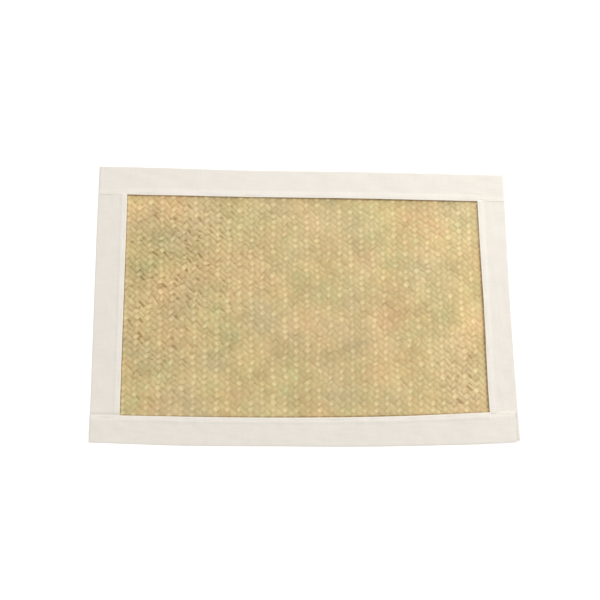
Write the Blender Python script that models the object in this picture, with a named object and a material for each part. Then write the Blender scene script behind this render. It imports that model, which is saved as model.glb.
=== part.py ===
"""Table mat: a plaited panel framed by four folded strips of cotton tape.

Metres, +Z up.  The origin is the middle of the mat, on the table that it lies on.  +X runs along
the long side to the right, and +Y to the far side.

The panel is one flat sheet.  The left and right strips are folded round its short edges first.
The far and near strips are then folded round the long edges, over the ends of the other two,
whose under flaps are cut off there so that the corners stay thin.
"""
import math

import bmesh
import bpy

# The finished mat
MAT_WIDTH = 0.450
MAT_DEPTH = 0.300
PANEL_THICKNESS = 0.0015
TAPE_THICKNESS = 0.0010
TAPE_FACE = 0.0305          # from the outer fold to the inner edge
FOLD_RADIUS = 0.0015
GAP = 0.0003                # between neighbouring layers
EASE = 0.010                # length over which one layer climbs on another

# How the mat lies: its near edge bows out, its right edge is drawn in, two corners lift
NEAR_BOW = 0.0040
NEAR_BOW_CENTRE = 0.040
NEAR_BOW_HALF_LENGTH = 0.250
NEAR_BOW_START = 0.020      # in y, where the bow begins to show
RIGHT_DRAW = 0.0017
RIGHT_DRAW_START = 0.060    # in x, where the drawing in begins to show
NEAR_RIGHT_LIFT = 0.0035
NEAR_LEFT_LIFT = 0.0012
LIFT_START = 0.68           # share of the way from the middle to the corner

# Steps in the meshes
WINDOW_COLUMNS = 16
WINDOW_ROWS = 10
EASE_STEPS = 3
FACE_STEPS = 3
FOLD_STEPS = 4

HALF_WIDTH = MAT_WIDTH / 2
HALF_DEPTH = MAT_DEPTH / 2
LAYER = TAPE_THICKNESS + GAP
STRIP_HEIGHT = 2 * TAPE_THICKNESS + PANEL_THICKNESS + 2 * GAP
TUCK = FOLD_RADIUS + GAP    # how far inside the fold a panel or a strip ends

RUSH_COLOUR = (0.60, 0.46, 0.23)
RUSH_ROUGHNESS = 0.6
COTTON_COLOUR = (0.84, 0.79, 0.71)
COTTON_ROUGHNESS = 0.9


def smooth_step(share):
    """0 below 0, 1 above 1, and an eased climb between."""
    share = min(max(share, 0.0), 1.0)
    return share * share * (3.0 - 2.0 * share)


def cover(position, half_size):
    """1 where the strips along +-half_size cover the panel, easing to 0 inside the window."""
    inner_edge = half_size - TAPE_FACE
    return smooth_step((abs(position) - inner_edge) / EASE + 1.0)


def panel_underside(x, y):
    """Height of the panel, which climbs from the table onto the strips' under flaps."""
    return LAYER * max(cover(x, HALF_WIDTH), cover(y, HALF_DEPTH))


def long_strip_height(x):
    """Height of a far or near strip, which lies over the side strips' ends."""
    return STRIP_HEIGHT + LAYER * cover(x, HALF_WIDTH)


def corner_lift(along, across, height):
    """Lift towards the corner at along = across = 1."""
    share = ((along + across) / 2.0 - LIFT_START) / (1.0 - LIFT_START)
    return height * max(share, 0.0) ** 2


def as_it_lies(x, y, z):
    """A point of the flat mat, moved to where it is as the mat lies."""
    bow_reach = max((NEAR_BOW_START - y) / (NEAR_BOW_START + HALF_DEPTH), 0.0) ** 2
    bow_along = 1.0 - ((x - NEAR_BOW_CENTRE) / NEAR_BOW_HALF_LENGTH) ** 2
    draw_reach = max((x - RIGHT_DRAW_START) / (HALF_WIDTH - RIGHT_DRAW_START), 0.0) ** 2
    draw_along = 1.0 - (y / HALF_DEPTH) ** 2
    lift = corner_lift(x / HALF_WIDTH, -y / HALF_DEPTH, NEAR_RIGHT_LIFT)
    lift += corner_lift(-x / HALF_WIDTH, -y / HALF_DEPTH, NEAR_LEFT_LIFT)
    return (x - RIGHT_DRAW * draw_reach * draw_along,
            y - NEAR_BOW * bow_reach * max(bow_along, 0.0),
            z + lift)


def even_steps(start, end, steps):
    """Positions after start, up to and with end."""
    return [start + (end - start) * step / steps for step in range(1, steps + 1)]


def stations(half_size, end, window_steps):
    """Positions from -end to end, close together where the layers climb."""
    inner_edge = half_size - TAPE_FACE
    level = inner_edge - EASE
    right = even_steps(0.0, level, window_steps // 2)
    right += even_steps(level, inner_edge - GAP, EASE_STEPS)
    right += [inner_edge]
    right += even_steps(inner_edge, end, FACE_STEPS)
    return [-position for position in reversed(right)] + [0.0] + right


def strip_section():
    """Across a strip: distance in from the fold, and share of the way from lowest to highest."""
    flap = [(FOLD_RADIUS, 0.0)]
    flap += [(inward, 0.0) for inward in even_steps(FOLD_RADIUS, TAPE_FACE, FACE_STEPS)]
    fold = []
    for step in range(1, FOLD_STEPS):
        angle = math.pi * (step / FOLD_STEPS - 0.5)
        fold.append((FOLD_RADIUS * (1.0 - math.cos(angle)), (1.0 + math.sin(angle)) / 2.0))
    return list(reversed(flap)) + fold + [(inward, 1.0) for inward, _ in flap]


def counted_grid(columns, rows):
    """A flat sheet of quads with its vertices at whole numbers, from (0, 0) to (columns, rows)."""
    sheet = bmesh.new()
    bmesh.ops.create_grid(sheet, x_segments=columns, y_segments=rows, size=0.5)
    bmesh.ops.translate(sheet, vec=(0.5, 0.5, 0.0), verts=sheet.verts)
    bmesh.ops.scale(sheet, vec=(columns, rows, 1.0), verts=sheet.verts)
    return sheet


def put_in_place(sheet, place):
    """Move the vertex of column i and row j to place(i, j)."""
    for vertex in sheet.verts:
        vertex.co = place(round(vertex.co.x), round(vertex.co.y))


def add_sheet(name, sheet, thickness, colour, roughness):
    """An object from a sheet, thickened against the side that its faces point to."""
    mesh = bpy.data.meshes.new(name)
    sheet.to_mesh(mesh)
    sheet.free()
    piece = bpy.data.objects.new(name, mesh)
    bpy.context.collection.objects.link(piece)
    wall = piece.modifiers.new("Thickness", "SOLIDIFY")
    wall.thickness = thickness
    wall.offset = -1.0
    wall.use_even_offset = True
    mesh.materials.append(plain_material(name, colour, roughness))
    return piece


def plain_material(name, colour, roughness):
    """A matt finish of one colour."""
    material = bpy.data.materials.new(name)
    material.use_nodes = True
    shader = material.node_tree.nodes["Principled BSDF"]
    shader.inputs["Base Color"].default_value = (*colour, 1.0)
    shader.inputs["Roughness"].default_value = roughness
    shader.inputs["Metallic"].default_value = 0.0
    return material


def add_panel():
    """The plaited panel, whose edges end inside the folds of the strips."""
    across = stations(HALF_WIDTH, HALF_WIDTH - TUCK, WINDOW_COLUMNS)
    along = stations(HALF_DEPTH, HALF_DEPTH - TUCK, WINDOW_ROWS)

    def place(column, row):
        x = across[column]
        y = along[row]
        return as_it_lies(x, y, panel_underside(x, y) + PANEL_THICKNESS)

    sheet = counted_grid(len(across) - 1, len(along) - 1)
    put_in_place(sheet, place)
    add_sheet("plaited_panel", sheet, PANEL_THICKNESS, RUSH_COLOUR, RUSH_ROUGHNESS)


def add_side_strip(name, side):
    """The left (side -1) or right (side 1) strip, folded round a short edge."""
    section = strip_section()
    along = stations(HALF_DEPTH, HALF_DEPTH - TUCK, WINDOW_ROWS)

    def place(column, row):
        inward, share = section[column]
        x = side * (HALF_WIDTH - inward)
        return as_it_lies(x, -side * along[row], STRIP_HEIGHT * share)

    sheet = counted_grid(len(section) - 1, len(along) - 1)
    cut_off_under_flap_ends(sheet, len(section) - 1, len(along) - 1)
    put_in_place(sheet, place)
    add_sheet(name, sheet, TAPE_THICKNESS, COTTON_COLOUR, COTTON_ROUGHNESS)


def cut_off_under_flap_ends(sheet, columns, rows):
    """Cut the lower half of a side strip away where the long strips' under flaps lie."""
    end_rows = FACE_STEPS + 1
    middle_row = rows / 2

    def lies_under_corner(face):
        centre = face.calc_center_median()
        return centre.x < columns / 2 and abs(centre.y - middle_row) > middle_row - end_rows

    ends = [face for face in sheet.faces if lies_under_corner(face)]
    bmesh.ops.delete(sheet, geom=ends, context="FACES")


def add_long_strip(name, side):
    """The near (side -1) or far (side 1) strip, folded round a long edge."""
    section = strip_section()
    across = stations(HALF_WIDTH, HALF_WIDTH, WINDOW_COLUMNS)

    def place(column, row):
        inward, share = section[column]
        x = side * across[row]
        return as_it_lies(x, side * (HALF_DEPTH - inward), long_strip_height(x) * share)

    sheet = counted_grid(len(section) - 1, len(across) - 1)
    put_in_place(sheet, place)
    add_sheet(name, sheet, TAPE_THICKNESS, COTTON_COLOUR, COTTON_ROUGHNESS)


def main():
    for piece in list(bpy.data.objects):
        bpy.data.objects.remove(piece, do_unlink=True)
    add_panel()
    add_side_strip("tape_left", -1)
    add_side_strip("tape_right", 1)
    add_long_strip("tape_far", 1)
    add_long_strip("tape_near", -1)


main()
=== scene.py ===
"""A placemat: a panel plaited from split rush, framed by four strips of folded cotton tape.

Metres, +Z up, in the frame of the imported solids.  The mat lies on a pale studio floor.
"""
import math
from typing import NamedTuple

import bmesh
import bpy
import numpy as np
from bpy.props import FloatProperty, FloatVectorProperty, IntProperty, PointerProperty
from mathutils import Matrix, Vector


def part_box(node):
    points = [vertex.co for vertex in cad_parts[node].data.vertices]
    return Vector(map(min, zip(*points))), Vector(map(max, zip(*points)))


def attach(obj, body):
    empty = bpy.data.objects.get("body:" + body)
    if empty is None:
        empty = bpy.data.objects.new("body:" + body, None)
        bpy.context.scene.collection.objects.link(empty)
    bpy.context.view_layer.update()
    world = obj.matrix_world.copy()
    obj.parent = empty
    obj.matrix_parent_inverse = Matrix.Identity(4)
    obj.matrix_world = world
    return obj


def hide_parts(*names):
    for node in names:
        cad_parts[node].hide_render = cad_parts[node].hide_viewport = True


bl_info = {
    "name": "Plaited placemat",
    "version": (1, 0, 0),
    "blender": (4, 5, 0),
    "location": "3D View > Sidebar > Placemat",
    "description": "Plaits a rush placemat, binds it with cotton tape and lights it",
    "category": "Add Mesh",
}

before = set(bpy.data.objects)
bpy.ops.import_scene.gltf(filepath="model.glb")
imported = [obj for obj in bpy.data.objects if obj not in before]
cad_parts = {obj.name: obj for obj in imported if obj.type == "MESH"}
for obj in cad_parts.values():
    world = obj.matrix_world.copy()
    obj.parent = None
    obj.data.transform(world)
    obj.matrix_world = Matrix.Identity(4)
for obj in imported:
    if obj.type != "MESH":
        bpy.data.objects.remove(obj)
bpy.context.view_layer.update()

MM = 0.001
BODY = "root"
PANEL_LOW, PANEL_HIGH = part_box("plaited_panel")
FAR_LOW, FAR_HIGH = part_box("tape_far")
LOOSE = 0.05 * MM           # between two layers of cloth
BAND_EASE = 2.0 * MM        # width over which a strip's turned edge shows through


# Sizes and colours that a user would change

class MatSizes(bpy.types.PropertyGroup):
    """The finished mat, and how it lies"""
    width: FloatProperty(
        name="Width", description="Along X, over the tape", unit="LENGTH",
        default=FAR_HIGH.x - FAR_LOW.x)
    depth: FloatProperty(
        name="Depth", description="Along Y, over the tape, before the near edge bows out",
        unit="LENGTH", default=2 * FAR_HIGH.y)
    tape_face: FloatProperty(
        name="Tape face", description="From a strip's outer fold to its inner edge",
        unit="LENGTH", default=FAR_HIGH.y - FAR_LOW.y)
    near_bow: FloatProperty(
        name="Near bow", description="How far the near edge bows out", unit="LENGTH",
        default=4.8 * MM)
    near_inner_bow: FloatProperty(
        name="Near inner bow", description="The same for the near strip's inner edge",
        unit="LENGTH", default=4.8 * MM)
    far_face_extra: FloatProperty(
        name="Far face extra", description="How much wider the far strip's face is than the others",
        unit="LENGTH", default=0.6 * MM)
    left_face_extra: FloatProperty(
        name="Left face extra", description="The same for the left strip", unit="LENGTH",
        default=0.7 * MM)
    right_face_turn: FloatProperty(
        name="Right face turn", unit="LENGTH", default=2.3 * MM,
        description="How much narrower the right strip's face gets to the near end")
    right_draw: FloatProperty(
        name="Right draw", description="How far the right edge is drawn in", unit="LENGTH",
        default=0.4 * MM)
    outer_extra: FloatProperty(
        name="Outer extra", description="How far the far and right strips lie beyond their line",
        unit="LENGTH", default=1.3 * MM)
    near_right_lift: FloatProperty(
        name="Near right lift", description="Height of that corner off the table", unit="LENGTH",
        default=3.5 * MM)
    near_left_lift: FloatProperty(
        name="Near left lift", description="Height of that corner off the table", unit="LENGTH",
        default=1.2 * MM)


class PlaitSettings(bpy.types.PropertyGroup):
    """The plait: two over, two under, on the bias"""
    pitch: FloatProperty(
        name="Pitch", description="From one strand to the next, along the other set",
        unit="LENGTH", default=4.55 * MM)
    angle: FloatProperty(
        name="Angle", description="Between a strand and the mat's long side", subtype="ANGLE",
        default=math.radians(48.3))
    rising_width: FloatProperty(
        name="Rising width", description="Of a strand that rises to the right", unit="LENGTH",
        default=5.3 * MM)
    rising_crimp: FloatProperty(
        name="Rising crimp", description="How far a strand that rises to the right goes up and down",
        unit="LENGTH", default=0.34 * MM)
    rising_light: FloatProperty(
        name="Rising lightness", description="Of a strand that rises to the right", default=0.91)
    # Painted highlight on the crests, partly rubbed paler: its strength on this set
    rising_wear_and_highlight: FloatProperty(
        name="Rising wear_and_highlight", description="How much paler that strand's crests are rubbed",
        default=0.52)
    falling_width: FloatProperty(
        name="Falling width", description="Of a strand that falls to the right", unit="LENGTH",
        default=5.9 * MM)
    falling_crimp: FloatProperty(
        name="Falling crimp", description="How far a strand that falls to the right goes up and down",
        unit="LENGTH", default=0.08 * MM)
    falling_light: FloatProperty(
        name="Falling lightness", description="Of a strand that falls to the right", default=0.89)
    # Painted highlight on the crests, partly rubbed paler: its strength on this set
    falling_wear_and_highlight: FloatProperty(
        name="Falling wear_and_highlight", description="How much paler that strand's crests are rubbed",
        default=0.05)
    # Painted shade beside loose floats: how dark it is on each set of strands
    rising_shade: FloatProperty(
        name="Rising shade", description="How dark the marks beside that strand's loose floats are",
        default=0.40)
    falling_shade: FloatProperty(
        name="Falling shade", description="How dark the marks beside that strand's loose floats are",
        default=0.80)
    strand_thickness: FloatProperty(
        name="Strand thickness", description="At a strand's middle", unit="LENGTH", default=0.28 * MM)
    wander: FloatProperty(
        name="Wander", description="How far the plait strays from its lattice", unit="LENGTH",
        default=0.7 * MM)
    wander_length: FloatProperty(
        name="Wander length", description="From one such stray to the next", unit="LENGTH",
        default=28 * MM)
    width_spread: FloatProperty(
        name="Width spread", description="Of one strand along its length, as a share",
        default=0.09)
    rising_sway: FloatProperty(
        name="Rising sway", description="How far a strand that rises to the right sways sideways",
        unit="LENGTH", default=0.30 * MM)
    falling_sway: FloatProperty(
        name="Falling sway", description="How far a strand that falls to the right sways sideways",
        unit="LENGTH", default=0.45 * MM)
    float_spread: FloatProperty(
        name="Float spread", description="Of the floats' heights, as a share", default=0.30)
    ease: FloatProperty(
        name="Ease", description="Length over which the panel climbs onto the strips' under flaps",
        unit="LENGTH", default=10 * MM)
    seed: IntProperty(name="Seed", description="Picks widths and colours", default=7)


class RushColours(bpy.types.PropertyGroup):
    """Natural colours of the split rush, all about as light"""
    olive: FloatVectorProperty(
        name="Olive", description="Where it was cut green", subtype="COLOR", size=3, min=0, max=1,
        default=(0.538, 0.482, 0.218))
    straw: FloatVectorProperty(
        name="Straw", description="Most of it", subtype="COLOR", size=3, min=0, max=1,
        default=(0.621, 0.471, 0.214))
    honey: FloatVectorProperty(
        name="Honey", description="Where it was ripe", subtype="COLOR", size=3, min=0, max=1,
        default=(0.689, 0.457, 0.219))
    # Colour of the painted highlight on the floats' crests, partly rubbed paler
    crest: FloatVectorProperty(
        name="Crest", description="Where the crests are rubbed", subtype="COLOR", size=3, min=0, max=1,
        default=(0.84, 0.71, 0.42))
    faded: FloatVectorProperty(
        name="Faded", description="Where the sun bleached it", subtype="COLOR", size=3, min=0, max=1,
        default=(0.625, 0.495, 0.290))


class TapeSettings(bpy.types.PropertyGroup):
    """The cotton tape and its sewing"""
    cotton: FloatVectorProperty(
        name="Cotton", description="Colour of the tape", subtype="COLOR", size=3, min=0, max=1,
        default=(0.81, 0.762, 0.688))
    thread: FloatVectorProperty(
        name="Thread", description="Colour of the sewing thread", subtype="COLOR", size=3,
        min=0, max=1, default=(0.80, 0.75, 0.66))
    cloth: FloatProperty(
        name="Cloth", description="Thickness of one layer", unit="LENGTH", default=0.35 * MM)
    turned_edge: FloatProperty(
        name="Turned edge", description="Width turned under along the inner edge", unit="LENGTH",
        default=5.0 * MM)
    fold_radius: FloatProperty(
        name="Fold radius", description="Round the outer edge", unit="LENGTH", default=1.2 * MM)
    outer_height: FloatProperty(
        name="Outer height", description="Of the strip at its outer fold", unit="LENGTH",
        default=2.0 * MM)
    slope: FloatProperty(
        name="Slope", description="Rise from the outer fold to the turned edge", unit="LENGTH",
        default=0.6 * MM)
    band_rise: FloatProperty(
        name="Band rise", description="Extra height where the edge is turned under", unit="LENGTH",
        default=0.30 * MM)
    unevenness: FloatProperty(
        name="Unevenness", description="How far a strip's edges stray from their line",
        unit="LENGTH", default=0.28 * MM)
    uneven_length: FloatProperty(
        name="Uneven length", description="Along the strip, from one stray to the next",
        unit="LENGTH", default=200 * MM)
    yarn_pitch: FloatProperty(
        name="Yarn pitch", description="From one yarn of the cloth to the next", unit="LENGTH",
        default=0.75 * MM)
    stitch_length: FloatProperty(
        name="Stitch length", description="From one stitch to the next", unit="LENGTH",
        default=3.0 * MM)
    stitch_inset: FloatProperty(
        name="Stitch inset", description="From the inner edge to the stitches", unit="LENGTH",
        default=2.2 * MM)
    thread_radius: FloatProperty(
        name="Thread radius", description="Of the sewing thread", unit="LENGTH", default=0.18 * MM)


class StudioSettings(bpy.types.PropertyGroup):
    """Floor, light and camera"""
    floor: FloatVectorProperty(
        name="Floor", description="Colour of the floor", subtype="COLOR", size=3, min=0, max=1,
        default=(0.80, 0.80, 0.80))
    floor_glow: FloatProperty(
        name="Floor glow", description="Light from the floor itself, as on a light table",
        default=0.45)
    key_power: FloatProperty(
        name="Key light", description="Low soft light, far right", subtype="POWER", unit="POWER",
        default=12.6)
    key_place: FloatVectorProperty(
        name="Key place", description="Where that light hangs", subtype="TRANSLATION",
        default=(0.91, 1.04, 0.36))
    key_size: FloatProperty(
        name="Key size", description="Its diameter", unit="LENGTH", default=0.45)
    sky: FloatProperty(
        name="Fill", description="Even light from all sides", default=0.915)
    camera_place: FloatVectorProperty(
        name="Camera", description="Where the camera stands", subtype="TRANSLATION",
        default=(-95.5 * MM, -268.4 * MM, 1096.6 * MM))
    camera_target: FloatVectorProperty(
        name="Target", description="What the camera looks at", subtype="TRANSLATION",
        default=(-5.9 * MM, 2.5 * MM, 3.0 * MM))
    camera_roll: FloatProperty(
        name="Roll", description="Turn about the line of sight", subtype="ANGLE",
        default=math.radians(0.48))
    lens: FloatProperty(
        name="Lens", description="Focal length in millimetres", default=62.98)


def settings(name):
    """One of the groups above: sizes, plait, rush, tape or studio."""
    return getattr(bpy.context.scene, "placemat_" + name)


def of_set(rising, name):
    """A setting of the strands that rise to the right, or of those that fall."""
    return getattr(settings("plait"), ("rising_" if rising else "falling_") + name)


# How the mat lies

def smooth_step(share):
    """0 below 0, 1 above 1, and an eased climb between."""
    share = np.clip(share, 0.0, 1.0)
    return share * share * (3.0 - 2.0 * share)


def beyond_inner_edge(position, half_size):
    """Distance from a strip's inner edge outwards, negative inside the window."""
    return np.abs(position) - half_size + settings("sizes").tape_face


def underside_beside(position, half_size):
    """Height of the panel over the under flap of the strips at +-half_size."""
    plait, tape = settings("plait"), settings("tape")
    past = beyond_inner_edge(position, half_size)
    climb = (2 * tape.cloth + LOOSE) * smooth_step(past / plait.ease + 1.0)
    return climb - tape.cloth * smooth_step((past - tape.turned_edge) / BAND_EASE)


def panel_underside(x, y):
    """Height of the panel, which climbs from the table onto the strips' under flaps."""
    sizes = settings("sizes")
    return np.maximum(underside_beside(x, sizes.width / 2), underside_beside(y, sizes.depth / 2))


def inside_window(x, y, distance):
    """1 where the panel shows, easing to 0 over this distance towards the strips."""
    sizes = settings("sizes")
    share = smooth_step(-beyond_inner_edge(x, sizes.width / 2) / distance)
    return share * smooth_step(-beyond_inner_edge(y, sizes.depth / 2) / distance)


PRESS_REACH = 2.5 * MM      # how far inside the window the sewing presses the plait
PRESSED_AT_EDGE = 0.30      # share of the plait's thickness lost at the strips' inner edge
PRESSED_AT_FOLD = 0.15      # and further out, at the fold


def pressed_beside(position, half_size):
    """Share of the plait's thickness that the strips at +-half_size leave it."""
    past = beyond_inner_edge(position, half_size)
    share = 1.0 - PRESSED_AT_EDGE * smooth_step(past / PRESS_REACH + 1.0)
    return share - PRESSED_AT_FOLD * smooth_step(past / settings("sizes").tape_face)


def pressed(x, y):
    """Share of its thickness that the plait keeps, least in the corners."""
    sizes = settings("sizes")
    return pressed_beside(x, sizes.width / 2) * pressed_beside(y, sizes.depth / 2)


# Where the panel's bow, draw and lifts are, as in its solid
BOW_CENTRE, BOW_HALF_LENGTH, BOW_START = 40 * MM, 250 * MM, 20 * MM
DRAW_START = 60 * MM
LIFT_START = 0.68           # share of the way from the middle to a near corner

# Arcs of the near and right strips' edges
NEAR_OUTER_CENTRE = 40 * MM
NEAR_OUTER_LEFT, NEAR_OUTER_RIGHT = 310 * MM, 178 * MM     # half lengths to either side
NEAR_INNER_CENTRE, NEAR_INNER_HALF_LENGTH = -60 * MM, 240 * MM
DRAW_CENTRE, DRAW_HALF_LENGTH = 20 * MM, 120 * MM


def bulge(place, depth, centre, half_length):
    """A shallow arc: depth at its centre, and nothing half its length away."""
    return depth * (1.0 - ((place - centre) / half_length) ** 2)


def corner_lift(x, y):
    """Height of the mat off the table, at its two near corners."""
    sizes = settings("sizes")
    lift = np.zeros_like(x)
    for side, height in ((1, sizes.near_right_lift), (-1, sizes.near_left_lift)):
        towards = (side * x / sizes.width - y / sizes.depth - LIFT_START) / (1 - LIFT_START)
        lift += height * np.maximum(towards, 0.0) ** 2
    return lift


def as_it_lies(x, y, z):
    """Points of the flat panel, as arrays, moved to where they are as the mat lies."""
    sizes = settings("sizes")
    half_width, half_depth = sizes.width / 2, sizes.depth / 2
    bow_reach = np.maximum((BOW_START - y) / (BOW_START + half_depth), 0.0) ** 2
    bow = np.maximum(bulge(x, sizes.near_bow, BOW_CENTRE, BOW_HALF_LENGTH), 0.0)
    draw_reach = np.maximum((x - DRAW_START) / (half_width - DRAW_START), 0.0) ** 2
    draw = bulge(y, sizes.right_draw, 0.0, half_depth)
    return x - draw_reach * draw, y - bow_reach * bow, z + corner_lift(x, y)


WAVE_LENGTHS = (0.7, 1.6)   # shortest and longest wave, as shares of the length asked for
UNEVEN_LIMIT = 1.4          # largest of the random values along a strand


class Waves:
    """Smooth random hills: a sum of sine waves of about one length, from about -1 to 1."""

    def __init__(self, rng, length, count=9):
        heading = rng.uniform(0, math.tau, count)
        number = math.tau / (length * rng.uniform(*WAVE_LENGTHS, count))
        self.kx = number * np.cos(heading)
        self.ky = number * np.sin(heading)
        self.phase = rng.uniform(0, math.tau, count)
        self.scale = math.sqrt(2.0 / count)

    def __call__(self, x, y):
        total = np.zeros_like(x)
        for kx, ky, phase in zip(self.kx, self.ky, self.phase):
            total += np.sin(kx * x + ky * y + phase)
        return total * self.scale


class Uneven:
    """Smooth random values along each of many strands, with a spread of 1."""

    def __init__(self, rng, strands, reach, spacing):
        knots = rng.normal(0.0, 1.0, (strands, int(reach / spacing) + 3))
        self.knots = np.clip(knots, -UNEVEN_LIMIT, UNEVEN_LIMIT)
        self.spacing = spacing

    def __call__(self, strand, length):
        place = length / self.spacing
        whole = np.floor(place).astype(int)
        share = smooth_step(place - whole)
        return self.knots[strand, whole] * (1 - share) + self.knots[strand, whole + 1] * share


# Reading and writing meshes

def points_of(mesh):
    """The places of all vertices, a row for each."""
    values = np.empty(len(mesh.vertices) * 3)
    mesh.vertices.foreach_get("co", values)
    return values.reshape(-1, 3)


def set_points(mesh, x, y, z):
    """Move all vertices."""
    mesh.vertices.foreach_set("co", np.stack([x, y, z], axis=1).ravel())
    mesh.update()


def set_layer(mesh, name, values):
    """Keep a number at every vertex, for the materials to read."""
    layer = mesh.attributes.new(name, "FLOAT", "POINT")
    layer.data.foreach_set("value", np.asarray(values, dtype=np.float32))


def add_piece(name, mesh, material, replaces=()):
    """A finished piece at the origin, riding with the mat."""
    piece = bpy.data.objects.new(name, mesh)
    bpy.context.collection.objects.link(piece)
    mesh.materials.clear()
    mesh.materials.append(material)
    mesh.shade_smooth()
    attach(piece, BODY)
    if replaces:
        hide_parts(*replaces)
    return piece


def copies_in_a_row(mesh, count, step):
    """The mesh repeated along X, as one mesh."""
    holder = bpy.data.objects.new("Row of copies", mesh)
    bpy.context.collection.objects.link(holder)
    row = holder.modifiers.new("Row", "ARRAY")
    row.count = count
    row.use_relative_offset = False
    row.use_constant_offset = True
    row.constant_offset_displace = (step, 0.0, 0.0)
    graph = bpy.context.evaluated_depsgraph_get()
    joined = bpy.data.meshes.new_from_object(holder.evaluated_get(graph))
    bpy.data.objects.remove(holder)
    return joined


# Shader nodes

class Nodes:
    """Adds nodes to a material and links them."""

    def __init__(self, name):
        self.material = bpy.data.materials.new(name)
        self.material.use_nodes = True
        self.tree = self.material.node_tree
        self.shader = self.tree.nodes["Principled BSDF"]

    def add(self, kind, values=(), **properties):
        node = self.tree.nodes.new("ShaderNode" + kind)
        for key, value in properties.items():
            setattr(node, key, value)
        for socket, value in dict(values).items():
            self.feed(node.inputs[socket], value)
        return node

    def feed(self, socket, value):
        if isinstance(value, bpy.types.NodeSocket):
            self.tree.links.new(value, socket)
        else:
            socket.default_value = value

    def attribute(self, name):
        return self.add("Attribute", attribute_name=name).outputs["Fac"]

    def math(self, operation, first, second=0.0, third=0.0):
        node = self.add("Math", operation=operation)
        for socket, value in zip(node.inputs, (first, second, third)):
            self.feed(socket, value)
        return node.outputs[0]

    def times(self, first, second):
        return self.math("MULTIPLY", first, second)

    def scaled(self, value, factor, offset):
        """The value times the factor, plus the offset."""
        return self.math("MULTIPLY_ADD", value, factor, offset)

    def varied(self, light, value, amount):
        """Light plus the amount times how far the value, from 0 to 1, is above a half."""
        return self.scaled(value, amount, self.math("SUBTRACT", light, amount / 2))

    def combine(self, x, y, z=0.0):
        return self.add("CombineXYZ", {"X": x, "Y": y, "Z": z}).outputs[0]

    def noise(self, vector, scale, detail=2.0, roughness=0.5):
        values = {"Vector": vector, "Scale": scale, "Detail": detail, "Roughness": roughness}
        return self.add("TexNoise", values).outputs["Fac"]

    def streaks(self, along, scale, second, third, detail, roughness=0.5):
        """Noise that runs along a strand or a yarn, and differs with the other two values."""
        vector = self.combine(self.times(along, scale), second, third)
        return self.noise(vector, 1.0, detail, roughness)

    def mix(self, blend, share, first, second):
        node = self.add("Mix", data_type="RGBA", blend_type=blend)
        self.feed(node.inputs["Factor"], share)
        self.feed(node.inputs["A"], first)
        self.feed(node.inputs["B"], second)
        return node.outputs["Result"]

    def lit(self, colour, light):
        """The colour times the light, all its parts alike."""
        return self.mix("MULTIPLY", 1.0, colour, self.combine(light, light, light))

    def ramp(self, value, positions, colours):
        node = self.add("ValToRGB", {"Fac": value})
        elements = node.color_ramp.elements
        while len(elements) < len(positions):
            elements.new(0.5)
        for element, position, colour in zip(elements, positions, colours):
            element.position = position
            element.color = (*colour, 1.0)
        return node.outputs["Color"]

    def eased(self, value, start, end, amount):
        """0 below start, amount above end, and an eased climb between."""
        node = self.add("MapRange", {"Value": value, "From Min": start, "From Max": end,
                                     "To Max": amount}, interpolation_type="SMOOTHSTEP")
        return node.outputs["Result"]

    def bump(self, height, distance):
        values = {"Height": height, "Distance": distance, "Strength": 1.0}
        return self.add("Bump", values).outputs["Normal"]


# How the rush is coloured: patterns in cells per metre, their effects as shares
HUE_STREAKS, STREAK_HUE = 24.0, 0.32        # slow changes of hue along a strand
TONE_HUE, TONE_LIGHT = 0.42, -0.22          # what a whole strand's tone does
PATCHES, PATCH_HUE = 16.0, 1.35             # patches of hue on the panel
HUE_OFFSET = 0.545                          # makes straw the commonest hue
HUE_STOPS = (0.15, 0.50, 0.85)              # of olive, straw and honey
ELSEWHERE = (3.1, 0.7, 0.0)                 # where fading and weather are read in the noise
FADING, FADING_SHARE = 17.0, 0.5            # bleached patches
FADED = (0.35, 0.75)                        # the noise between which they set in
WEATHER, WEATHER_LIGHT = 24.0, 0.54         # lighter and darker patches
FLOAT_STREAKS, WEAR_LIGHT = 110.0, 0.40     # changes from one float to the next
FIBRES_ACROSS, FIBRE_LIGHT = 9.0, 0.22      # fibres over a strand's width
FIBRE_BUMP = 0.08 * MM
RUSH_ROUGHNESS, FIBRE_ROUGHNESS = 0.42, 0.25
CREST_LIGHT = 0.05                          # painted shade and highlight: how much darker a float is where it dives, and lighter on top
CRESTS = (0.82, 1.0)                        # heights of a float between which its painted highlight sets in
HIGHLIGHTED_AND_RUBBED = (0.28, 0.58)                       # the noise between which a crest is rubbed paler and gets a painted highlight
LIGHTER_TO_RIGHT = (90 * MM, 190 * MM, 0.11)  # painted light: from x, to x, how much lighter towards the right
LIGHTER_TO_FAR = (50 * MM, 120 * MM, 0.05)    # the same in y, painted light towards the far side

# Painted shade: dark strokes on the shaded side of loose floats
FLOAT_SHADE_SEED = 4.0
SHADED_FLOATS = (0.54, 0.64)                       # the noise between which the painted shade sets in
SHADED_SIDE = (-0.40, 0.15)                 # across a strand, to its shaded side, where the shade is painted
SHADED_RISE = (0.0, 0.8)                    # heights of a float between which they set in
EVEN_SHADE = 0.05                           # how much of them shows where the plait is even
LOOSE_SHADE = (0.56, 0.47, 0.30, 1.0)

# Painted shade in the crease that the sewing presses into the plait, beside the strips
SHADED_CREASE_WIDTH = 2.3 * MM
CREASE_SHADE = (0.62, 0.54, 0.46, 1.0)


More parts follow.
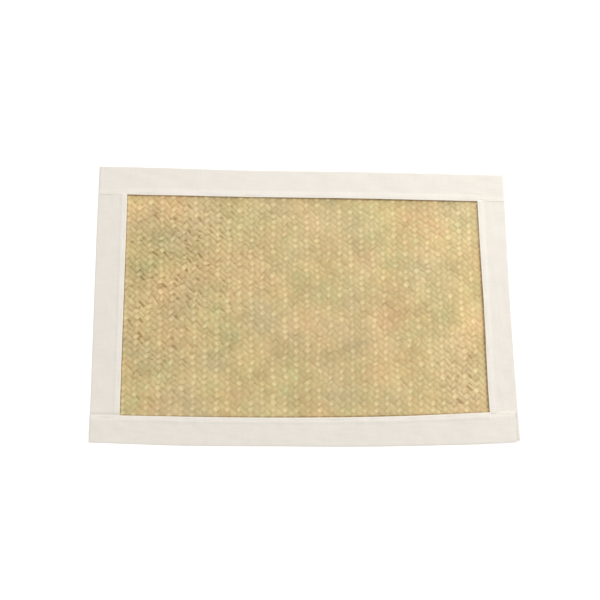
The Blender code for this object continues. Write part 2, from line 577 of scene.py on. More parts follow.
def shade_in_crease_beside_strips(nodes, x, y):
    """1 at the strips' inner edges, easing to 0 inside the window: where the shade is painted."""
    sizes = settings("sizes")
    half_width, half_depth = sizes.width / 2 - sizes.tape_face, sizes.depth / 2 - sizes.tape_face
    beside = nodes.math("SUBTRACT", nodes.math("ABSOLUTE", x), half_width)
    beyond = nodes.math("SUBTRACT", y, half_depth - sizes.far_face_extra)
    bow = shallow_arc(nodes, x, NEAR_INNER_CENTRE, NEAR_INNER_HALF_LENGTH)
    near = nodes.scaled(bow, -sizes.near_inner_bow, -half_depth)
    before = nodes.math("SUBTRACT", near, y)
    outside = nodes.math("MAXIMUM", beside, nodes.math("MAXIMUM", beyond, before))
    return nodes.eased(outside, -SHADED_CREASE_WIDTH, 0.0, 1.0)


def shallow_arc(nodes, x, centre, half_length):
    """1 at the centre and 0 half its length away, like bulge."""
    from_centre = nodes.math("DIVIDE", nodes.math("SUBTRACT", x, centre), half_length)
    return nodes.math("SUBTRACT", 1.0, nodes.times(from_centre, from_centre))


def rush_material(name, rising, seed):
    """Split rush: hue and lightness vary along strands and in patches, with fine fibres, painted
    highlights on the crests, and painted light and shade towards the right, beside the strips and
    beside loose floats.
    """
    colours = settings("rush")
    nodes = Nodes(name)
    along, across, strand = [nodes.attribute(layer) for layer in ("along", "across", "strand")]
    tone, rise, coarse = [nodes.attribute(layer) for layer in ("tone", "rise", "coarse")]
    place = nodes.add("TexCoord").outputs["Object"]
    x, y, _ = nodes.add("SeparateXYZ", {"Vector": place}).outputs
    elsewhere = nodes.add("VectorMath", {0: place, 1: ELSEWHERE}).outputs[0]
    wear_and_highlight = nodes.streaks(along, FLOAT_STREAKS, seed, strand, 1.0)
    over_width = nodes.times(across, FIBRES_ACROSS)
    fibres = nodes.streaks(along, FLOAT_STREAKS, over_width, strand, 3.0, 0.6)

    hue = nodes.scaled(nodes.streaks(along, HUE_STREAKS, strand, seed, 2.0), STREAK_HUE,
                       nodes.times(tone, TONE_HUE))
    hue = nodes.scaled(nodes.noise(place, PATCHES, 3.0), PATCH_HUE, hue)
    hue = nodes.math("SUBTRACT", hue, HUE_OFFSET)
    colour = nodes.ramp(hue, HUE_STOPS, (colours.olive, colours.straw, colours.honey))
    faded = nodes.eased(nodes.noise(elsewhere, FADING, 2.0), *FADED, FADING_SHARE)
    colour = nodes.mix("MIX", faded, colour, (*colours.faded, 1.0))
    # Painted highlight on the floats' crests, partly rubbed paler
    crest = nodes.times(nodes.eased(rise, *CRESTS, of_set(rising, "wear_and_highlight")),
                        nodes.eased(wear_and_highlight, *HIGHLIGHTED_AND_RUBBED, 1.0))
    middle = nodes.scaled(nodes.times(across, across), -4.0, 1.0)
    colour = nodes.mix("MIX", nodes.times(crest, middle), colour, (*colours.crest, 1.0))

    light = nodes.varied(1.0, nodes.noise(elsewhere, WEATHER, 3.0), WEATHER_LIGHT)
    light = nodes.varied(light, wear_and_highlight, WEAR_LIGHT)
    light = nodes.varied(light, tone, TONE_LIGHT)
    light = nodes.times(light, nodes.varied(1.0, fibres, FIBRE_LIGHT))
    # Painted shade and highlight by a float's height
    light = nodes.times(light, nodes.scaled(rise, CREST_LIGHT, of_set(rising, "light")))
    # Painted light: the rush is made lighter towards the right and the far side
    painted_light_gradient = nodes.math("ADD", nodes.eased(x, *LIGHTER_TO_RIGHT), nodes.eased(y, *LIGHTER_TO_FAR))
    light = nodes.times(light, nodes.math("ADD", painted_light_gradient, 1.0))
    colour = nodes.lit(colour, light)

    # Painted shade in the crease beside the strips' inner edges
    colour = nodes.mix("MULTIPLY", shade_in_crease_beside_strips(nodes, x, y), colour, CREASE_SHADE)
    # Painted shade on the shaded side of loose floats
    loose = nodes.streaks(along, FLOAT_STREAKS, seed + FLOAT_SHADE_SEED, strand, 1.0)
    shade_marks = nodes.times(nodes.eased(loose, *SHADED_FLOATS, of_set(rising, "shade")),
                        nodes.eased(nodes.times(across, -1.0), *SHADED_SIDE, 1.0))
    shade_marks = nodes.times(shade_marks, nodes.eased(rise, *SHADED_RISE, 1.0))
    shade_marks = nodes.times(shade_marks, nodes.scaled(coarse, 1.0 - EVEN_SHADE, EVEN_SHADE))
    colour = nodes.mix("MULTIPLY", shade_marks, colour, LOOSE_SHADE)
    nodes.feed(nodes.shader.inputs["Base Color"], colour)
    nodes.feed(nodes.shader.inputs["Roughness"],
               nodes.scaled(fibres, FIBRE_ROUGHNESS, RUSH_ROUGHNESS))
    nodes.feed(nodes.shader.inputs["Normal"], nodes.bump(fibres, FIBRE_BUMP))
    nodes.shader.inputs["Specular IOR Level"].default_value = 0.35
    return nodes.material


# How the cotton is coloured: patterns in cells per metre, their effects as shares
SLUBS_ALONG, SLUBS_ACROSS = 60.0, 1300.0    # a slub is long along its yarn and thin across
SLUB_LIGHT, COTTON_LIGHT = 0.10, 0.87
CLOUDS, CLOUD_LIGHT = 28.0, 0.06
YARN_LIGHT, YARN_BUMP = 0.025, 0.05 * MM
SLUB_RELIEF = 0.5
DOUBLED_LIGHT = 0.06                        # how much paler the doubled edge is


def cotton_material():
    """Plain-woven unbleached cotton, with slubs and a soft fuzz."""
    sizes, tape = settings("sizes"), settings("tape")
    nodes = Nodes("Cotton tape")
    along = nodes.attribute("along")
    across = nodes.attribute("across")
    turns = math.tau / tape.yarn_pitch / 2
    warp = nodes.math("SINE", nodes.times(across, turns))
    weft = nodes.math("SINE", nodes.times(along, turns))
    over = nodes.times(warp, weft)
    slubs = nodes.math(
        "ADD", nodes.streaks(along, SLUBS_ALONG, nodes.times(across, SLUBS_ACROSS), 0.0, 2.0),
        nodes.streaks(along, SLUBS_ACROSS, nodes.times(across, SLUBS_ALONG), 0.0, 2.0))
    clouds = nodes.noise(nodes.add("TexCoord").outputs["Object"], CLOUDS, 3.0)
    light = nodes.varied(nodes.scaled(slubs, SLUB_LIGHT, COTTON_LIGHT), clouds, CLOUD_LIGHT)
    light = nodes.scaled(over, YARN_LIGHT, light)
    doubled = nodes.eased(across, sizes.tape_face - 1.5 * tape.turned_edge,
                          sizes.tape_face - 0.5 * tape.turned_edge, DOUBLED_LIGHT)
    light = nodes.times(light, nodes.math("ADD", doubled, 1.0))
    nodes.feed(nodes.shader.inputs["Base Color"], nodes.lit((*tape.cotton, 1.0), light))
    height = nodes.scaled(slubs, SLUB_RELIEF, over)
    nodes.feed(nodes.shader.inputs["Normal"], nodes.bump(height, YARN_BUMP))
    nodes.shader.inputs["Roughness"].default_value = 0.92
    nodes.shader.inputs["Specular IOR Level"].default_value = 0.2
    nodes.shader.inputs["Sheen Weight"].default_value = 0.15
    nodes.shader.inputs["Sheen Roughness"].default_value = 0.6
    return nodes.material


THREAD_TWIST = 9000.0       # turn of the thread's twist, in radians per metre
TWIST_LIGHT, THREAD_LIGHT, TWIST_BUMP = 0.08, 0.92, 0.03 * MM


def thread_material():
    """Twisted cotton thread."""
    tape = settings("tape")
    nodes = Nodes("Sewing thread")
    along = nodes.attribute("along")
    around = nodes.attribute("around")
    twist = nodes.math("SINE", nodes.scaled(along, THREAD_TWIST, around))
    light = nodes.scaled(twist, TWIST_LIGHT, THREAD_LIGHT)
    nodes.feed(nodes.shader.inputs["Base Color"], nodes.lit((*tape.thread, 1.0), light))
    nodes.feed(nodes.shader.inputs["Normal"], nodes.bump(twist, TWIST_BUMP))
    nodes.shader.inputs["Roughness"].default_value = 0.8
    return nodes.material


GLOW_STARTS = (-2.0 * MM, 0.5 * MM)         # past the mat's outline, where the glow sets in


def floor_material():
    """A pale floor that glows, but not under the mat."""
    sizes, studio = settings("sizes"), settings("studio")
    nodes = Nodes("Studio floor")
    x, y, _ = nodes.add("SeparateXYZ", {"Vector": nodes.add("TexCoord").outputs["Object"]}).outputs
    beside = nodes.math("SUBTRACT", nodes.math("ABSOLUTE", x), sizes.width / 2)
    beyond = nodes.math("SUBTRACT", nodes.math("ABSOLUTE", y), sizes.depth / 2)
    outside = nodes.math("MAXIMUM", beside, beyond)
    nodes.feed(nodes.shader.inputs["Emission Strength"],
               nodes.eased(outside, *GLOW_STARTS, studio.floor_glow))
    nodes.shader.inputs["Base Color"].default_value = (*studio.floor, 1.0)
    nodes.shader.inputs["Emission Color"].default_value = (1.0, 1.0, 1.0, 1.0)
    nodes.shader.inputs["Roughness"].default_value = 0.9
    return nodes.material


# The plait

SECTION_SIDES = 6
SECTION_ACROSS = (0.50, 0.44, -0.44, -0.50, -0.44, 0.44)    # of its corners, in widths
SECTION_HEIGHT = (0.0, 0.5, 0.5, 0.0, -0.5, -0.5)           # and in thicknesses
STEPS_PER_CROSSING = 2.4    # of a strand's length
SPARE_CROSSINGS = 4         # what a strand is longer than it needs
ROD_SPACING = 10.0          # between the straight rods, before they are laid in place
CRIMP_SPARE = 1.6           # room under the plait's middle for its coarse places, in crimps
FLAT_FLOATS = 1.15          # more makes the floats' tops longer and their ends steeper
STRAND_IN_NOISE = 3.7       # from one strand to the next, in the materials' noise
MAX_WIDTH = 1.32            # of a strand, in pitches
STRAND_SPREAD, STRAND_WIDTHS = 0.045, (0.88, 1.06)          # from strand to strand, as shares
TONE_MIDDLE, TONE_SPREAD = 0.50, 0.10
WIDTH_LENGTH, SWAY_LENGTH, ROLL_LENGTH = 13 * MM, 11 * MM, 20 * MM      # of one change
ROLL = 0.008                # how far a strand's edge rises as it rolls, in widths

# Where the plait is coarse: loose floats, and narrow falling strands with dark grooves beside them
COARSE_PLACES = (           # x, y, radius, amount
    (-150 * MM, 60 * MM, 65 * MM, 1.0),
    (-185 * MM, -50 * MM, 50 * MM, 0.7),
    (175 * MM, -90 * MM, 35 * MM, 0.8),
)
COARSE_SPREAD = 0.6         # what coarseness adds to the spread of widths and to the sway
COARSE_NARROWING = 0.04     # what it takes off the falling strands' width
COARSE_CRIMP, COARSE_THICKNESS, COARSE_ROLL = 0.7, 1.3, 0.045           # what it adds to these
COARSE_EASE = 10 * MM       # the plait gets even over this length towards the strips
CALM_EASE = 22 * MM         # and strays less from its lattice over this length

# Falling strands that have moved apart, as listed
GROOVES = (                 # number of the falling strand, from x, to x, width
    (-22, -130 * MM, -50 * MM, 1.5 * MM),
    (21, 65 * MM, 130 * MM, 1.2 * MM),
)
GROOVE_EASE = 15 * MM       # length over which a groove opens
GROOVE_STRANDS = 1.5        # number of strands over which the shift beside it dies away


def coarseness(x, y):
    """0 where the plait is close and even, up to 1 where it is coarse."""
    total = np.zeros_like(x)
    for centre_x, centre_y, radius, amount in COARSE_PLACES:
        away = ((x - centre_x) ** 2 + (y - centre_y) ** 2) / (2 * radius ** 2)
        total += amount * np.exp(-away)
    return np.minimum(total, 1.0)


def groove_shift(number, x):
    """How far the falling strands move sideways to open a groove, least far from it."""
    shift = np.zeros_like(x)
    for groove, start, end, width in GROOVES:
        middle, half = (start + end) / 2, (end - start) / 2
        opened = smooth_step((half - np.abs(x - middle)) / GROOVE_EASE + 1.0)
        apart = number - groove - 0.5
        fading = np.exp(-(np.abs(apart) - 0.5) / GROOVE_STRANDS)
        shift += np.sign(apart) * width / 2 * fading * opened
    return shift


def straight_strand(steps):
    """A six-sided rod of unit radius along Z, one unit long for each step.

    Its corners stand halfway between multiples of 60 degrees.
    """
    rod = bmesh.new()
    bmesh.ops.create_cone(rod, cap_ends=True, segments=SECTION_SIDES, radius1=1.0, radius2=1.0,
                          depth=float(steps))
    long_edges = [edge for edge in rod.edges if abs(edge.verts[0].co.z - edge.verts[1].co.z) > 0.5]
    bmesh.ops.subdivide_edges(rod, edges=long_edges, cuts=steps - 1)
    bmesh.ops.translate(rod, vec=(0.0, 0.0, steps / 2), verts=rod.verts)
    mesh = bpy.data.meshes.new("Strand")
    rod.to_mesh(mesh)
    rod.free()
    return mesh


def on_rods(points):
    """The number of the rod that each point is on, and the point's place across that rod."""
    index = np.rint(points[:, 0] / ROD_SPACING).astype(int)
    return index, points[:, 0] - index * ROD_SPACING, points[:, 1]


def float_height(phase):
    """1 in the middle of a float over two strands, -1 under two."""
    swing = np.cos(phase / 4 * math.tau)
    return np.tanh(FLAT_FLOATS * swing) / math.tanh(FLAT_FLOATS)


def panel_reach():
    """Half the panel's width and depth."""
    sizes = settings("sizes")
    reach_x = (PANEL_HIGH.x - PANEL_LOW.x) / 2
    return reach_x, sizes.depth / 2 - (sizes.width / 2 - reach_x)


def plaited_strands(rising, rng):
    """The mesh of all strands that rise to the right, or all that fall, running past the panel."""
    plait = settings("plait")
    reach_x, reach_y = panel_reach()
    step_x = plait.pitch * math.cos(plait.angle)
    step_y = plait.pitch * math.sin(plait.angle)
    last = int((reach_x / step_x + reach_y / step_y) / 2)
    numbers = np.arange(-last, last + 1)
    crossings = 2 * reach_y / step_y + SPARE_CROSSINGS
    steps = int(STEPS_PER_CROSSING * crossings)

    mesh = copies_in_a_row(straight_strand(steps), len(numbers), ROD_SPACING)
    points = points_of(mesh)
    index, rod_x, rod_y = on_rods(points)
    corner = np.floor(np.arctan2(rod_y, rod_x) / math.tau * SECTION_SIDES).astype(int)
    number = numbers[index]
    start = np.floor(np.maximum(-reach_x / step_x - number, number - reach_y / step_y)) - 1
    run = start + points[:, 2] / STEPS_PER_CROSSING
    reach = points[:, 2] / STEPS_PER_CROSSING * plait.pitch

    side = 1.0 if rising else -1.0
    x = step_x * (number + run)
    y = side * step_y * (run - number)
    coarse = coarseness(x, y) * inside_window(x, y, COARSE_EASE)

    whole = (crossings + 1) * plait.pitch
    width_drift = Uneven(rng, len(numbers), whole, WIDTH_LENGTH)
    sideways_drift = Uneven(rng, len(numbers), whole, SWAY_LENGTH)
    float_drift = Uneven(rng, len(numbers), whole, 2 * plait.pitch)
    roll_drift = Uneven(rng, len(numbers), whole, ROLL_LENGTH)
    strand_width = np.clip(rng.normal(1.0, STRAND_SPREAD, len(numbers)), *STRAND_WIDTHS)
    tone = np.clip(rng.normal(TONE_MIDDLE, TONE_SPREAD, len(numbers)), 0.0, 1.0)

    rougher = 1.0 + COARSE_SPREAD * coarse
    breadth = of_set(rising, "width") * strand_width[index]
    breadth = breadth * (1.0 + plait.width_spread * rougher * width_drift(index, reach))
    if not rising:
        breadth = breadth * (1.0 - COARSE_NARROWING * coarse)
    breadth = np.minimum(breadth, MAX_WIDTH * plait.pitch)
    across = np.asarray(SECTION_ACROSS)[corner % SECTION_SIDES]
    sway = of_set(rising, "sway") * rougher * sideways_drift(index, reach)
    sideways = across * breadth + sway
    if not rising:
        sideways = sideways + groove_shift(number, x)

    over = float_height(number + run - 0.5) * side
    crimp = of_set(rising, "crimp") * (1.0 + COARSE_CRIMP * coarse)
    crimp = crimp * (1.0 + plait.float_spread * float_drift(index, reach))
    thickness = plait.strand_thickness * (1.0 + COARSE_THICKNESS * coarse)
    roll = (ROLL + COARSE_ROLL * coarse) * roll_drift(index, reach)
    height = crimp * over + np.asarray(SECTION_HEIGHT)[corner % SECTION_SIDES] * thickness
    height = height + across * breadth * roll

    x = x - side * math.sin(plait.angle) * sideways
    y = y + math.cos(plait.angle) * sideways
    set_points(mesh, x, y, height)
    set_layer(mesh, "along", run * plait.pitch)
    set_layer(mesh, "across", across)
    set_layer(mesh, "strand", number * STRAND_IN_NOISE)
    set_layer(mesh, "tone", tone[index])
    set_layer(mesh, "rise", over)
    set_layer(mesh, "coarse", coarse)
    return mesh


def lay_down(mesh, wander_x, wander_y):
    """Lay plaited strands over the under flaps, pressed by the strips, as the mat lies."""
    plait = settings("plait")
    x, y, height = points_of(mesh).T
    middle = CRIMP_SPARE * plait.rising_crimp + plait.strand_thickness / 2
    z = panel_underside(x, y) + pressed(x, y) * np.maximum(middle + height, 0.0)
    stray = plait.wander * inside_window(x, y, CALM_EASE)
    x, y = x + stray * wander_x(x, y), y + stray * wander_y(x, y)
    set_points(mesh, *as_it_lies(x, y, z))


def trim_to_panel(mesh):
    """Cut the plaited strands off along the panel's four edges, and close their ends."""
    reach_x, reach_y = panel_reach()
    plaited = bmesh.new()
    plaited.from_mesh(mesh)
    for direction, reach in (((1, 0, 0), reach_x), ((-1, 0, 0), reach_x),
                             ((0, 1, 0), reach_y), ((0, -1, 0), reach_y)):
        everything = list(plaited.verts) + list(plaited.edges) + list(plaited.faces)
        cut = bmesh.ops.bisect_plane(
            plaited, geom=everything, dist=1e-4 * MM, plane_co=Vector(direction) * reach,
            plane_no=direction, clear_outer=True)
        rims = [item for item in cut["geom_cut"] if isinstance(item, bmesh.types.BMEdge)]
        bmesh.ops.holes_fill(plaited, edges=rims, sides=0)
    plaited.to_mesh(mesh)
    plaited.free()


class MAT_OT_plait(bpy.types.Operator):
    """Plait the panel from two sets of rush strands, two over and two under"""
    bl_idname = "placemat.plait"
    bl_label = "Plait the panel"

    def execute(self, context):
        """Make both sets of strands"""
        plait = settings("plait")
        rng = np.random.default_rng(plait.seed)
        wander_x, wander_y = Waves(rng, plait.wander_length), Waves(rng, plait.wander_length)
        for name, rising, seed, rests_on in (("strands_rising", True, 3.1, "strands_falling"),
                                             ("strands_falling", False, 8.6, "floor")):
            mesh = plaited_strands(rising, rng)
            trim_to_panel(mesh)
            lay_down(mesh, wander_x, wander_y)
            material = rush_material(name, rising, seed)
            piece = add_piece(name, mesh, material, ["plaited_panel"])
        return {"FINISHED"}


# The cotton strips

UNDER_STEPS = 10            # across the under flap
FACE_STEPS = 30             # across the upper flap
FOLD_STEPS = 8
BEAD_STEPS = 6              # round the inner edge
TUCK_STEPS = 3              # across the part that is turned under
LENGTH_STEP = 1.0 * MM
CORNER_SWELL = 6.0 * MM     # length over which a side strip rises to a long strip's level
CORNER_DIVE = 1.2 * MM      # length over which it then dives under that strip
CORNER_EASE = 5.0 * MM      # length over which the long strip's turned edge is pressed flat
END_ROUNDING = 1.5 * MM     # length over which a strip's cut end droops
END_DROOP = 0.7 * MM
COVERED_EASE = 0.8 * MM     # width over which a side strip dips under the long strip's end
PUFF_LENGTH, PUFF = 24 * MM, 0.09 * MM                  # low hills in the cloth
CREASE_LENGTH, CREASE = 9 * MM, 0.035 * MM              # fine creases
CREASE_STRETCH = 0.35       # less makes them longer along the strip
SEWN_REACH = 0.9 * MM       # how far from the stitches the cloth is drawn down
SEWN_DEPTH, PUCKER = 0.05 * MM, 0.04 * MM               # how far, and its change with each stitch
RIGHT_TURN_MIDDLE = 0.2     # where the right strip's face has its usual width, in mat depths
STITCH_STEPS = 4
STITCH_SHARE = 0.86         # of the stitch length that the thread lies above the cloth
STITCH_ENDS = 0.45          # a stitch's thickness at its ends, as a share of its middle
STITCH_SUNK = 0.10 * MM     # how far the stitches sink into the cloth
STITCH_ARCH = 1.5           # a stitch's middle over its ends, in thread radii
STITCH_DIP = 0.9            # how far its ends are under the cloth's face, in thread radii
STITCH_BELOW = -0.4         # the arch of a stitch under the mat, as a share


class Strip(NamedTuple):
    """Where a strip runs, and how far its left or near end and its other end stop short."""
    along_x: bool
    side: int
    start_gap: float = 0.0
    end_gap: float = 0.0


STRIPS = {
    "tape_left": Strip(False, -1),
    "tape_right": Strip(False, 1),
    "tape_far": Strip(True, 1, 0.1 * MM, -1.2 * MM),
    "tape_near": Strip(True, -1, 0.1 * MM, 2.2 * MM),
}


def strip_section():
    """Across a strip, from one turned edge to the other, as three arrays.

    They are the distance in from the fold, the share of the strip's height, and the extra height
    of the bead round the inner edge and of the cloth that is turned under.
    """
    sizes, tape = settings("sizes"), settings("tape")
    bead = tape.cloth + LOOSE / 2
    edge = sizes.tape_face - bead
    tuck = np.linspace(sizes.tape_face - tape.turned_edge, edge, TUCK_STEPS + 1)[:-1]
    turn = np.linspace(math.pi / 2, -math.pi / 2, BEAD_STEPS + 1)
    under = np.linspace(edge, tape.fold_radius, UNDER_STEPS + 1)[1:]
    fold = np.linspace(-math.pi / 2, math.pi / 2, FOLD_STEPS + 1)[1:-1]
    face = np.linspace(tape.fold_radius, edge, FACE_STEPS + 1)[:-1]
    round_bead = edge + bead * np.cos(turn)
    inward = np.concatenate([tuck, round_bead, under, tape.fold_radius * (1 - np.cos(fold)),
                             face, round_bead, tuck[::-1]])
    share = np.concatenate([np.zeros(len(tuck) + len(turn) + len(under)), (1 + np.sin(fold)) / 2,
                            np.ones(len(face) + len(turn) + len(tuck))])
    lower = np.concatenate([np.full(len(tuck), 2 * bead), bead * (1 + np.sin(turn)),
                            np.zeros_like(under)])
    upper = np.concatenate([np.zeros_like(face), bead * (np.sin(turn) - 1),
                            np.full(len(tuck), -2 * bead)])
    return inward, share, np.concatenate([lower, np.zeros_like(fold), upper])


def counted_grid(name, columns, rows):
    """A flat sheet of quads with its vertices at whole numbers, from (0, 0) to (columns, rows)."""
    sheet = bmesh.new()
    bmesh.ops.create_grid(sheet, x_segments=columns, y_segments=rows, size=0.5)
    bmesh.ops.translate(sheet, vec=(0.5, 0.5, 0.0), verts=sheet.verts)
    bmesh.ops.scale(sheet, vec=(columns, rows, 1.0), verts=sheet.verts)
    mesh = bpy.data.meshes.new(name)
    sheet.to_mesh(mesh)
    sheet.free()
    return mesh


def cut_off_under_flap_ends(mesh, columns, rows, end_rows):
    """Cut a side strip's lower half away where the long strips' under flaps lie."""
    sheet = bmesh.new()
    sheet.from_mesh(mesh)
    ends = []
    for face in sheet.faces:
        centre = face.calc_center_median()
        if centre.x < columns and abs(centre.y - rows / 2) > rows / 2 - end_rows:
            ends.append(face)
    bmesh.ops.delete(sheet, geom=ends, context="FACES")
    sheet.to_mesh(mesh)
    sheet.free()


def edge_strays(name, run):
    """How far out a strip's outer and inner edges lie: its own arc, and uneven hand sewing."""
    sizes, tape = settings("sizes"), settings("tape")
    rng = np.random.default_rng(settings("plait").seed + 10 + list(STRIPS).index(name))
    no_offset = np.zeros_like(run)
    outer = Waves(rng, tape.uneven_length)(run, no_offset) * tape.unevenness
    inner = Waves(rng, tape.uneven_length)(run, no_offset) * tape.unevenness
    if name == "tape_near":
        half_length = np.where(run < NEAR_OUTER_CENTRE, NEAR_OUTER_LEFT, NEAR_OUTER_RIGHT)
        outer += bulge(run, sizes.near_bow, NEAR_OUTER_CENTRE, half_length)
        inner += bulge(run, sizes.near_inner_bow, NEAR_INNER_CENTRE, NEAR_INNER_HALF_LENGTH)
    if name == "tape_far":
        outer += sizes.outer_extra
        inner -= sizes.far_face_extra
    if name == "tape_left":
        inner -= sizes.left_face_extra
    if name == "tape_right":
        inner += sizes.right_face_turn * (RIGHT_TURN_MIDDLE - run / sizes.depth)
        outer += sizes.outer_extra - bulge(run, sizes.right_draw, DRAW_CENTRE, DRAW_HALF_LENGTH)
    return outer, inner


def face_height(inward):
    """Height of a strip's upper face over the table, away from the corners."""
    sizes, tape = settings("sizes"), settings("tape")
    sloping = np.clip(inward / (sizes.tape_face - tape.turned_edge), 0.0, 1.0)
    return tape.outer_height + tape.slope * sloping + tape.band_rise * on_band(inward)


def on_band(inward):
    """1 where the edge is turned under, easing to 0 away from the inner edge."""
    sizes, tape = settings("sizes"), settings("tape")
    return smooth_step((inward - sizes.tape_face + tape.turned_edge) / BAND_EASE + 1.0)


def strip_top(name, inward, run):
    """Height of a strip's upper face over the table, with the corners."""
    sizes, tape = settings("sizes"), settings("tape")
    strip = STRIPS[name]
    height = face_height(inward)
    if strip.along_x:
        past = beyond_inner_edge(run, sizes.width / 2)
        return height - tape.band_rise * on_band(inward) * smooth_step(past / CORNER_EASE + 0.5)
    past = beyond_inner_edge(run, sizes.depth / 2)
    level = np.maximum(height, tape.outer_height + tape.cloth)
    height = height + (level - height) * smooth_step(past / CORNER_SWELL + 1.0)
    over = sizes.tape_face - past
    layers = tape.cloth + (tape.cloth + tape.band_rise) * on_band(over) + LOOSE
    under_long_strip = np.minimum(face_height(over) - layers, height)
    covered = smooth_step((inward - uncovered(strip.side, run)) / COVERED_EASE + 1.0)
    return height + (under_long_strip - height) * smooth_step(past / CORNER_DIVE) * covered


def uncovered(side, run):
    """How far the end of the long strip stops short of the left (-1) or right (1) strip's fold."""
    near, far = STRIPS["tape_near"], STRIPS["tape_far"]
    if side < 0:
        return np.where(run < 0, near.start_gap, far.start_gap)
    return np.where(run < 0, near.end_gap, far.end_gap) + settings("sizes").outer_extra


def on_strip(name, inward, run, z):
    """Points of a strip, given across, along and up, moved to where they are as the mat lies."""
    sizes, strip = settings("sizes"), STRIPS[name]
    share = np.clip(inward / sizes.tape_face, 0.0, 1.0)
    outer, inner = edge_strays(name, run)
    half_size = sizes.depth / 2 if strip.along_x else sizes.width / 2
    place = strip.side * (half_size - inward + outer * (1 - share) + inner * share)
    x, y = (run, place) if strip.along_x else (place, run)
    return x, y, z + corner_lift(x, y)


def tape_strip(name, rng):
    """One folded strip with its inner edges turned under."""
    sizes, tape = settings("sizes"), settings("tape")
    strip = STRIPS[name]
    inward, share, extra = strip_section()
    half_run = sizes.width / 2 if strip.along_x else sizes.depth / 2 - tape.fold_radius - LOOSE
    low, high = strip.start_gap - half_run, half_run - strip.end_gap
    rows = int(round((high - low) / LENGTH_STEP))
    mesh = counted_grid(name, len(inward) - 1, rows)
    if not strip.along_x:
        lower_columns = TUCK_STEPS + BEAD_STEPS + UNDER_STEPS + FOLD_STEPS // 2
        cut_off_under_flap_ends(mesh, lower_columns, rows, sizes.tape_face / LENGTH_STEP)
    points = points_of(mesh)
    column = np.rint(points[:, 0]).astype(int)
    row_share = points[:, 1] / rows
    runs_backwards = (strip.side < 0) == strip.along_x      # so that its faces point outwards
    if runs_backwards:
        row_share = 1 - row_share
    run = low + (high - low) * row_share
    offset, up = inward[column], share[column]

    puff = Waves(rng, PUFF_LENGTH)(run, offset) * PUFF
    creases = Waves(rng, CREASE_LENGTH)(run * CREASE_STRETCH, offset) * CREASE
    from_stitches = np.abs(sizes.tape_face - offset - tape.stitch_inset)
    pucker = PUCKER * np.cos(run / tape.stitch_length * math.tau) - SEWN_DEPTH
    relief = puff + creases + np.exp(-from_stitches / SEWN_REACH) * pucker
    top = strip_top(name, offset, run) + relief
    if strip.along_x:
        for to_end, gap in ((run - low, strip.start_gap), (high - run, strip.end_gap)):
            if gap < tape.fold_radius:
                top = top - END_DROOP * smooth_step(1.0 - to_end / END_ROUNDING)
    set_layer(mesh, "along", run)
    set_layer(mesh, "across", np.where(up > 0.5, offset, -offset))
    set_points(mesh, *on_strip(name, offset, run, top * up + extra[column]))
    return mesh


def stitches(name):
    """The stitches that hold a strip, along its inner edge above and below."""
    sizes, tape = settings("sizes"), settings("tape")
    half_run = sizes.depth / 2 - sizes.tape_face
    if STRIPS[name].along_x:
        half_run = sizes.width / 2 - 2 * tape.stitch_length
    count = int(2 * half_run / tape.stitch_length)
    mesh = copies_in_a_row(straight_strand(STITCH_STEPS), 2 * count, ROD_SPACING)
    points = points_of(mesh)
    index, rod_x, rod_y = on_rods(points)
    on_top = index < count
    share = points[:, 2] / STITCH_STEPS
    arc = np.sin(share * math.pi)
    run = (index % count + 0.5 - count / 2 + STITCH_SHARE * (share - 0.5)) * tape.stitch_length
    radius = tape.thread_radius * (STITCH_ENDS + (1.0 - STITCH_ENDS) * arc)
    inward = sizes.tape_face - tape.stitch_inset + rod_x * radius
    surface = np.where(on_top, strip_top(name, inward, run) - STITCH_SUNK, 0.0)
    stand = tape.thread_radius * (STITCH_ARCH * arc - STITCH_DIP)
    z = surface + np.where(on_top, 1.0, STITCH_BELOW) * stand + rod_y * radius
    set_layer(mesh, "along", run)
    set_layer(mesh, "around", np.arctan2(rod_y, rod_x))
    set_points(mesh, *on_strip(name, inward, run, z))
    return mesh


class MAT_OT_tape(bpy.types.Operator):
    """Fold the four cotton strips round the panel's edges and sew them down"""
    bl_idname = "placemat.tape"
    bl_label = "Fold and sew the tape"

    def execute(self, context):
        """Make each strip and its stitches"""
        sizes, tape = settings("sizes"), settings("tape")
        rng = np.random.default_rng(settings("plait").seed + 1)
        cotton, thread = cotton_material(), thread_material()
        for name, strip in STRIPS.items():
            place = name.removeprefix("tape_")
            piece = add_piece("cotton_" + place, tape_strip(name, rng), cotton, [name])
            wall = piece.modifiers.new("Thickness", "SOLIDIFY")
            wall.thickness = tape.cloth
            wall.offset = -1.0
            sewing = add_piece("stitches_" + place, stitches(name), thread)
        return {"FINISHED"}


# Stage

FLOOR_REACH = 6.0           # from its middle to an edge
FLOOR_LEVEL = -0.3 * MM     # under the thread below the mat
SENSOR_WIDTH = 36.0         # of the camera, in millimetres
CLIP_START, CLIP_END = 0.01, 50.0


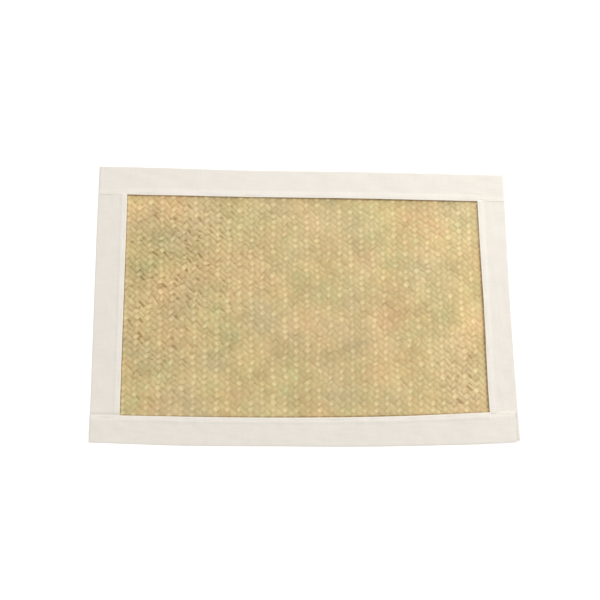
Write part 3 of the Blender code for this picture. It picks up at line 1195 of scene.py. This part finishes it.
class MAT_OT_studio(bpy.types.Operator):
    """Lay a pale floor, and set the light and the camera"""
    bl_idname = "placemat.studio"
    bl_label = "Set the studio"

    def execute(self, context):
        studio = settings("studio")
        self.lay_floor()
        self.hang_lights(studio)
        self.place_camera(studio)
        bpy.context.scene.view_settings.view_transform = "Standard"
        return {"FINISHED"}

    def lay_floor(self):
        floor = bmesh.new()
        bmesh.ops.create_grid(floor, x_segments=1, y_segments=1, size=FLOOR_REACH)
        bmesh.ops.translate(floor, vec=(0.0, 0.0, FLOOR_LEVEL), verts=floor.verts)
        mesh = bpy.data.meshes.new("floor")
        floor.to_mesh(mesh)
        floor.free()
        piece = bpy.data.objects.new("floor", mesh)
        bpy.context.collection.objects.link(piece)
        mesh.materials.append(floor_material())

    def hang_lights(self, studio):
        world = bpy.data.worlds.new("Studio")
        world.use_nodes = True
        background = world.node_tree.nodes["Background"]
        background.inputs["Color"].default_value = (1.0, 1.0, 1.0, 1.0)
        background.inputs["Strength"].default_value = studio.sky
        bpy.context.scene.world = world
        key = bpy.data.lights.new("Key", "AREA")
        key.shape = "DISK"
        key.size = studio.key_size
        key.energy = studio.key_power
        lamp = bpy.data.objects.new("Key", key)
        lamp.location = studio.key_place
        lamp.rotation_euler = Vector(lamp.location).to_track_quat("Z", "Y").to_euler()
        bpy.context.collection.objects.link(lamp)

    def place_camera(self, studio):
        data = bpy.data.cameras.new("Camera")
        data.lens = studio.lens
        data.sensor_width = SENSOR_WIDTH
        data.clip_start = CLIP_START
        data.clip_end = CLIP_END
        camera = bpy.data.objects.new("Camera", data)
        place, target = Vector(studio.camera_place), Vector(studio.camera_target)
        forward = (target - place).normalized()
        right = forward.cross(Vector((0.0, 1.0, 0.0))).normalized()
        up = right.cross(forward)
        cosine, sine = math.cos(studio.camera_roll), math.sin(studio.camera_roll)
        right, up = right * cosine - up * sine, right * sine + up * cosine
        turn = Matrix((right, up, -forward)).transposed().to_4x4()
        camera.matrix_world = Matrix.Translation(place) @ turn
        bpy.context.collection.objects.link(camera)
        bpy.context.scene.camera = camera


class MAT_PT_placemat(bpy.types.Panel):
    """The placemat's steps"""
    bl_idname = "MAT_PT_placemat"
    bl_label = "Placemat"
    bl_space_type = "VIEW_3D"
    bl_region_type = "UI"
    bl_category = "Placemat"

    def draw(self, context):
        for step in OPERATORS:
            self.layout.operator(step.bl_idname)
        for name, group in GROUPS.items():
            box = self.layout.box()
            for key in group.__annotations__:
                box.prop(settings(name), key)


GROUPS = {"sizes": MatSizes, "plait": PlaitSettings, "rush": RushColours, "tape": TapeSettings,
          "studio": StudioSettings}
OPERATORS = (MAT_OT_plait, MAT_OT_tape, MAT_OT_studio)


def register():
    for name, group in GROUPS.items():
        bpy.utils.register_class(group)
        setattr(bpy.types.Scene, "placemat_" + name, PointerProperty(type=group))
    for kind in (*OPERATORS, MAT_PT_placemat):
        bpy.utils.register_class(kind)


def unregister():
    for kind in reversed((*OPERATORS, MAT_PT_placemat)):
        bpy.utils.unregister_class(kind)
    for name, group in reversed(GROUPS.items()):
        delattr(bpy.types.Scene, "placemat_" + name)
        bpy.utils.unregister_class(group)


def main():
    register()
    bpy.ops.placemat.plait()
    bpy.ops.placemat.tape()
    bpy.ops.placemat.studio()


if __name__ == "__main__":
    main()
